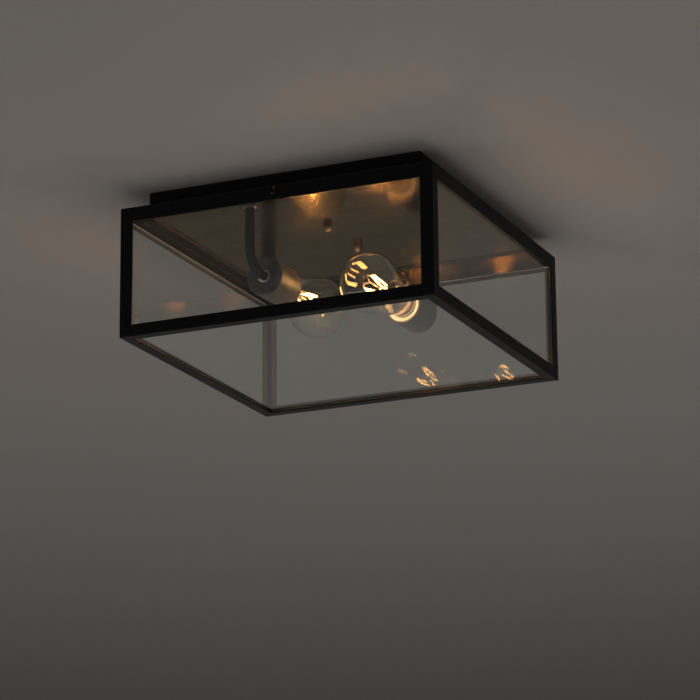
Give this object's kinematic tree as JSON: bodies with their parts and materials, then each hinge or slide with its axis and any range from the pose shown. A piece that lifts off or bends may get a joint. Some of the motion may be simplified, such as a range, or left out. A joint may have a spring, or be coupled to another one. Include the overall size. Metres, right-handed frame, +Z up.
{
  "type": "porch ceiling lantern",
  "caption": "Square porch ceiling lantern: black angle-metal frame with clear panes under a polished reflector tray, with pear-shaped lamps in screw holders on bent arms.",
  "frame": {"origin": "middle of the ceiling face, on top of the crossbar", "axes": "+Z up towards the ceiling, -Y out of the lantern's front face, +X to its right, along the rails"},
  "size_m": [0.35, 0.3544, 0.16],
  "materials": {
    "arm_gloss": "gloss black",
    "black_glass": "black glass",
    "block_plastic": "white plastic",
    "brass": "bright",
    "canopy_paint": "satin black paint",
    "filament": "yellow coated light stick",
    "foam": "closed-cell foam",
    "frame_paint": "satin black paint",
    "holder_paint": "satin dark grey",
    "lamp_cap": "plated sheet",
    "lamp_glass": "clear",
    "nut_brass": "dark bronzed",
    "pane_glass": "clear float glass with ground edges",
    "porcelain": "glazed cream porcelain",
    "screw_black": "black oxide",
    "support_wire": "drawn wire",
    "tape": "black glazing tape",
    "tray_steel": "dark polished sheet, brushed one way",
    "wire_brown": "heat-proof sleeving",
    "wire_earth": "green and yellow insulation",
    "zinc_steel": "zinc plated"
  },
  "bodies": {
    "ceiling_unit": {"canopy_pan": "canopy_paint", "canopy_seal": "foam", "cap_nuts": "nut_brass", "crossbar": "zinc_steel", "crossbar_studs": "zinc_steel", "earth_lead": "wire_earth", "earth_screws": "zinc_steel", "holder_left_cap": "holder_paint", "holder_left_contacts": "brass", "holder_left_insert": "porcelain", "holder_left_sleeve": "holder_paint", "holder_right_cap": "holder_paint", "holder_right_contacts": "brass", "holder_right_insert": "porcelain", "holder_right_sleeve": "holder_paint", "lip_nuts": "zinc_steel", "reflector_tray": "tray_steel", "stem_left": "arm_gloss", "stem_lock_nuts": "arm_gloss", "stem_nuts": "zinc_steel", "stem_right": "arm_gloss", "terminal_block": "block_plastic", "wires_left": "wire_brown", "wires_right": "wire_brown"},
    "lantern": {"base_rail_back": "frame_paint", "base_rail_front": "frame_paint", "base_rail_left": "frame_paint", "base_rail_right": "frame_paint", "glazing_tapes": "tape", "pane_back": "pane_glass", "pane_base": "pane_glass", "pane_front": "pane_glass", "pane_left": "pane_glass", "pane_right": "pane_glass", "post_back_left": "frame_paint", "post_back_right": "frame_paint", "post_front_left": "frame_paint", "post_front_right": "frame_paint", "top_rail_back": "frame_paint", "top_rail_front": "frame_paint", "top_rail_left": "frame_paint", "top_rail_right": "frame_paint"},
    "side_screw_front": {"side_screw_front": "screw_black"},
    "side_screw_back": {"side_screw_back": "screw_black"},
    "bulb_left_base": {"bulb_left_tip": "lamp_cap"},
    "bulb_left": {"bulb_left_cap": "lamp_cap", "bulb_left_filaments": "filament", "bulb_left_glass": "lamp_glass", "bulb_left_insulator": "black_glass", "bulb_left_leads": "support_wire", "bulb_left_mount": "lamp_glass"},
    "bulb_right_base": {"bulb_right_tip": "lamp_cap"},
    "bulb_right": {"bulb_right_cap": "lamp_cap", "bulb_right_filaments": "filament", "bulb_right_glass": "lamp_glass", "bulb_right_insulator": "black_glass", "bulb_right_leads": "support_wire", "bulb_right_mount": "lamp_glass"}
  },
  "joints": [
    {"name": "lantern_drop", "type": "slide", "parent": "ceiling_unit", "child": "lantern", "axis": [0, 0, -1], "range_m": [0, 0.15]},
    {"name": "side_screw_front_out", "type": "slide", "parent": "ceiling_unit", "child": "side_screw_front", "axis": [0, -1, 0], "range_m": [0, 0.008]},
    {"name": "side_screw_back_out", "type": "slide", "parent": "ceiling_unit", "child": "side_screw_back", "axis": [0, 1, 0], "range_m": [0, 0.008]},
    {"name": "bulb_left_advance", "type": "slide", "parent": "ceiling_unit", "child": "bulb_left_base", "axis": [0.0384, 0.9993, 0], "range_m": [0, 0.01825]},
    {"name": "bulb_left_unscrew", "type": "hinge", "parent": "bulb_left_base", "child": "bulb_left", "pos_m": [-0.04658, -0.07744, -0.0887], "axis": [0.0384, 0.9993, 0], "range_deg": [0, 1800]},
    {"name": "bulb_right_advance", "type": "slide", "parent": "ceiling_unit", "child": "bulb_right_base", "axis": [-0.0384, -0.9993, 0], "range_m": [0, 0.01825]},
    {"name": "bulb_right_unscrew", "type": "hinge", "parent": "bulb_right_base", "child": "bulb_right", "pos_m": [0.04658, 0.07744, -0.0887], "axis": [-0.0384, -0.9993, 0], "range_deg": [0, 1800]}
  ],
  "couplings": [
    {"joint": "bulb_left_advance", "follows": "bulb_left_unscrew", "m_per_rad": 0.00057773},
    {"joint": "bulb_right_advance", "follows": "bulb_right_unscrew", "m_per_rad": 0.00057773}
  ]
}
